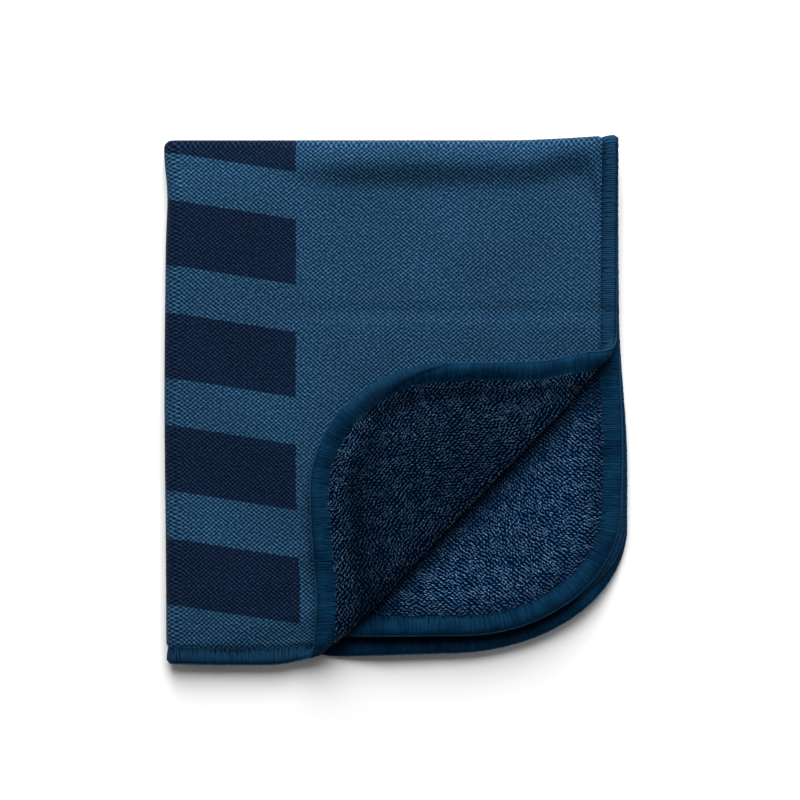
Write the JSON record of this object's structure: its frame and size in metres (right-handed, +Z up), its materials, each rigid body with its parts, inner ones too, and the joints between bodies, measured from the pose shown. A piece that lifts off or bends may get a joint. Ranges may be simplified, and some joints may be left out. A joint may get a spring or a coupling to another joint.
{
  "type": "folded microfiber detailing towel",
  "caption": "Soft rectangular drying cloth with rounded, overlocked corners, folded in four, one top corner turned back to show its looped pile.",
  "frame": {"origin": "centre of the towel's bounding rectangle, on the surface that it lies on", "axes": "+Z up; +Y from the loose edges at the near side to the fold at the far side; +X from the side fold to the loose edges at the right"},
  "size_m": [0.255, 0.2916, 0.0299],
  "materials": {
    "cloth": "matt, slate blue printed knit on one face and navy looped pile on the other",
    "edging": "soft overlock thread, dark petrol blue, slight sheen"
  },
  "bodies": {
    "root": {"towel_cloth": "cloth", "towel_edging": "edging"}
  },
  "joints": []
}
